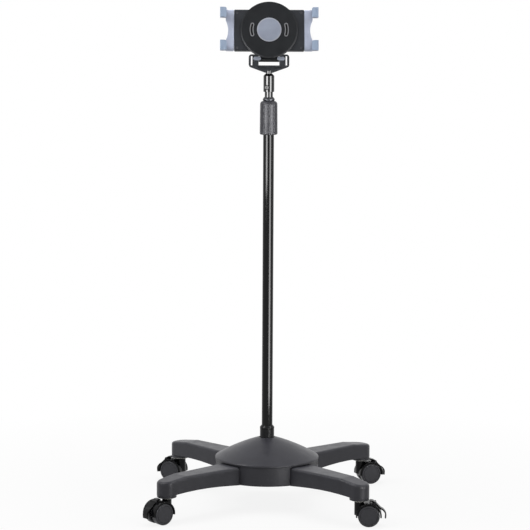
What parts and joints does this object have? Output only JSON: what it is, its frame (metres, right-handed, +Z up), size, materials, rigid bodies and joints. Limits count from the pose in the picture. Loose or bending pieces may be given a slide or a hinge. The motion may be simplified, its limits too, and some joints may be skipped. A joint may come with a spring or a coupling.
{
  "type": "tablet floor stand",
  "caption": "Free-standing tablet stand on casters: domed base, telescopic mast with twist lock, and a tilting, turning cradle with dial-driven arms.",
  "frame": {"origin": "on the floor under the mast's axis", "axes": "+Z up along the mast, -Y towards the person in front of the tablet, +X to their right"},
  "size_m": [0.5814, 0.5311, 1.181],
  "materials": {
    "base_plastic": "satin charcoal moulding",
    "mast_black": "gloss black coat",
    "yoke_black": "gloss black",
    "grip_grey": "satin grey",
    "steel": "bright steel",
    "nylon": "natural nylon",
    "dial_grey": "fine matt dark grey",
    "blue_grey": "satin blue-grey",
    "hood_black": "gloss black",
    "wheel_grey": "dark grey nylon"
  },
  "bodies": {
    "base": {"hub_housing": "base_plastic", "dome_cover": "base_plastic", "leg_front_left": "base_plastic", "leg_front_right": "base_plastic", "leg_rear_left": "base_plastic", "leg_rear_right": "base_plastic", "leg_screws": "steel", "caster_bushes": "nylon", "mast_collar": "mast_black", "mast_bolt": "steel", "lower_tube": "mast_black", "tube_plug": "steel", "clutch_body": "nylon", "clutch_collet": "nylon"},
    "clutch": {"clutch_grip": "grip_grey", "clutch_neck": "steel"},
    "mast": {"upper_tube": "mast_black", "guide_bush": "nylon"},
    "head": {"head_socket": "mast_black", "socket_screw": "steel", "yoke": "yoke_black", "yoke_stem": "mast_black", "hinge_pin": "steel", "tab_spring_left": "steel", "tab_spring_right": "steel"},
    "tab_left": {"release_tab_left": "blue_grey"},
    "tab_right": {"release_tab_right": "blue_grey"},
    "bracket": {"tilt_bracket": "dial_grey"},
    "cradle": {"cradle_back": "dial_grey", "cradle_front": "dial_grey", "cradle_screws": "steel", "swivel_washer": "steel", "swivel_screw": "steel", "dial_screw": "steel"},
    "dial": {"dial_wheel": "dial_grey", "dial_pad": "blue_grey", "pinion": "nylon"},
    "arm_left": {"arm_left": "blue_grey"},
    "arm_right": {"arm_right": "blue_grey"},
    "caster_fl": {"caster_fl_hood": "hood_black", "caster_fl_pins": "steel"},
    "caster_fl_wheel_left": {"caster_fl_wheel_left": "wheel_grey"},
    "caster_fl_wheel_right": {"caster_fl_wheel_right": "wheel_grey"},
    "caster_fl_brake": {"caster_fl_brake_lever": "hood_black"},
    "caster_fr": {"caster_fr_hood": "hood_black", "caster_fr_pins": "steel"},
    "caster_fr_wheel_left": {"caster_fr_wheel_left": "wheel_grey"},
    "caster_fr_wheel_right": {"caster_fr_wheel_right": "wheel_grey"},
    "caster_fr_brake": {"caster_fr_brake_lever": "hood_black"},
    "caster_rl": {"caster_rl_hood": "hood_black", "caster_rl_pins": "steel"},
    "caster_rl_wheel_left": {"caster_rl_wheel_left": "wheel_grey"},
    "caster_rl_wheel_right": {"caster_rl_wheel_right": "wheel_grey"},
    "caster_rl_brake": {"caster_rl_brake_lever": "hood_black"},
    "caster_rr": {"caster_rr_hood": "hood_black", "caster_rr_pins": "steel"},
    "caster_rr_wheel_left": {"caster_rr_wheel_left": "wheel_grey"},
    "caster_rr_wheel_right": {"caster_rr_wheel_right": "wheel_grey"},
    "caster_rr_brake": {"caster_rr_brake_lever": "hood_black"}
  },
  "joints": [
    {"name": "clutch_twist", "type": "hinge", "parent": "base", "child": "clutch", "pos_m": [0, 0, 0.913], "axis": [0, 0, 1], "range_deg": [0, 90]},
    {"name": "mast_slide", "type": "slide", "parent": "base", "child": "mast", "axis": [0, 0, 1], "range_m": [-0.011, 0.55]},
    {"name": "head_swivel", "type": "hinge", "parent": "mast", "child": "head", "pos_m": [0, 0, 0.99], "axis": [0, 0, 1], "continuous": true},
    {"name": "tab_left_slide", "type": "slide", "parent": "head", "child": "tab_left", "axis": [-1, 0, 0], "range_m": [0, 0.003], "stiffness_N_per_m": 300, "deforming": ["tab_spring_left"]},
    {"name": "tab_right_slide", "type": "slide", "parent": "head", "child": "tab_right", "axis": [1, 0, 0], "range_m": [0, 0.003], "stiffness_N_per_m": 300, "deforming": ["tab_spring_right"]},
    {"name": "cradle_tilt", "type": "hinge", "parent": "head", "child": "bracket", "pos_m": [0, 0, 1.0483], "axis": [-1, 0, 0], "range_deg": [-16, 54]},
    {"name": "cradle_turn", "type": "hinge", "parent": "bracket", "child": "cradle", "pos_m": [0, 0.00391, 1.11272], "axis": [0, -0.9613, 0.2756], "range_deg": [-90, 90]},
    {"name": "dial_turn", "type": "hinge", "parent": "cradle", "child": "dial", "pos_m": [0, -0.0084, 1.11625], "axis": [0, -0.9613, 0.2756], "range_deg": [0, 100]},
    {"name": "arm_left_slide", "type": "slide", "parent": "cradle", "child": "arm_left", "axis": [-1, 0, 0], "range_m": [0, 0.028]},
    {"name": "arm_right_slide", "type": "slide", "parent": "cradle", "child": "arm_right", "axis": [1, 0, 0], "range_m": [0, 0.028]},
    {"name": "caster_fl_swivel", "type": "hinge", "parent": "base", "child": "caster_fl", "pos_m": [-0.23256, -0.20648, 0.058], "axis": [0, 0, 1], "continuous": true},
    {"name": "caster_fl_wheel_left_roll", "type": "hinge", "parent": "caster_fl", "child": "caster_fl_wheel_left", "pos_m": [-0.25, -0.2199, 0.025], "axis": [0.6101, -0.7923, 0], "continuous": true},
    {"name": "caster_fl_wheel_right_roll", "type": "hinge", "parent": "caster_fl", "child": "caster_fl_wheel_right", "pos_m": [-0.25, -0.2199, 0.025], "axis": [0.6101, -0.7923, 0], "continuous": true},
    {"name": "caster_fl_brake_press", "type": "hinge", "parent": "caster_fl", "child": "caster_fl_brake", "pos_m": [-0.26147, -0.22874, 0.05342], "axis": [0.6101, -0.7923, 0], "range_deg": [0, 12]},
    {"name": "caster_fr_swivel", "type": "hinge", "parent": "base", "child": "caster_fr", "pos_m": [0.20648, -0.23256, 0.058], "axis": [0, 0, 1], "continuous": true},
    {"name": "caster_fr_wheel_left_roll", "type": "hinge", "parent": "caster_fr", "child": "caster_fr_wheel_left", "pos_m": [0.22847, -0.23333, 0.025], "axis": [0.0349, 0.9994, 0], "continuous": true},
    {"name": "caster_fr_wheel_right_roll", "type": "hinge", "parent": "caster_fr", "child": "caster_fr_wheel_right", "pos_m": [0.22847, -0.23333, 0.025], "axis": [0.0349, 0.9994, 0], "continuous": true},
    {"name": "caster_fr_brake_press", "type": "hinge", "parent": "caster_fr", "child": "caster_fr_brake", "pos_m": [0.24294, -0.23384, 0.05342], "axis": [0.0349, 0.9994, 0], "range_deg": [0, 12]},
    {"name": "caster_rl_swivel", "type": "hinge", "parent": "base", "child": "caster_rl", "pos_m": [-0.20648, 0.23256, 0.058], "axis": [0, 0, 1], "continuous": true},
    {"name": "caster_rl_wheel_left_roll", "type": "hinge", "parent": "caster_rl", "child": "caster_rl_wheel_left", "pos_m": [-0.22642, 0.24186, 0.025], "axis": [-0.4226, -0.9063, 0], "continuous": true},
    {"name": "caster_rl_wheel_right_roll", "type": "hinge", "parent": "caster_rl", "child": "caster_rl_wheel_right", "pos_m": [-0.22642, 0.24186, 0.025], "axis": [-0.4226, -0.9063, 0], "continuous": true},
    {"name": "caster_rl_brake_press", "type": "hinge", "parent": "caster_rl", "child": "caster_rl_brake", "pos_m": [-0.23955, 0.24798, 0.05342], "axis": [-0.4226, -0.9063, 0], "range_deg": [0, 12]},
    {"name": "caster_rr_swivel", "type": "hinge", "parent": "base", "child": "caster_rr", "pos_m": [0.23256, 0.20648, 0.058], "axis": [0, 0, 1], "continuous": true},
    {"name": "caster_rr_wheel_left_roll", "type": "hinge", "parent": "caster_rr", "child": "caster_rr_wheel_left", "pos_m": [0.2536, 0.21291, 0.025], "axis": [-0.2924, 0.9563, 0], "continuous": true},
    {"name": "caster_rr_wheel_right_roll", "type": "hinge", "parent": "caster_rr", "child": "caster_rr_wheel_right", "pos_m": [0.2536, 0.21291, 0.025], "axis": [-0.2924, 0.9563, 0], "continuous": true},
    {"name": "caster_rr_brake_press", "type": "hinge", "parent": "caster_rr", "child": "caster_rr_brake", "pos_m": [0.26745, 0.21715, 0.05342], "axis": [-0.2924, 0.9563, 0], "range_deg": [0, 12]}
  ],
  "couplings": [
    {"joint": "arm_left_slide", "follows": "dial_turn", "m_per_rad": 0.016},
    {"joint": "arm_right_slide", "follows": "dial_turn", "m_per_rad": 0.016}
  ]
}
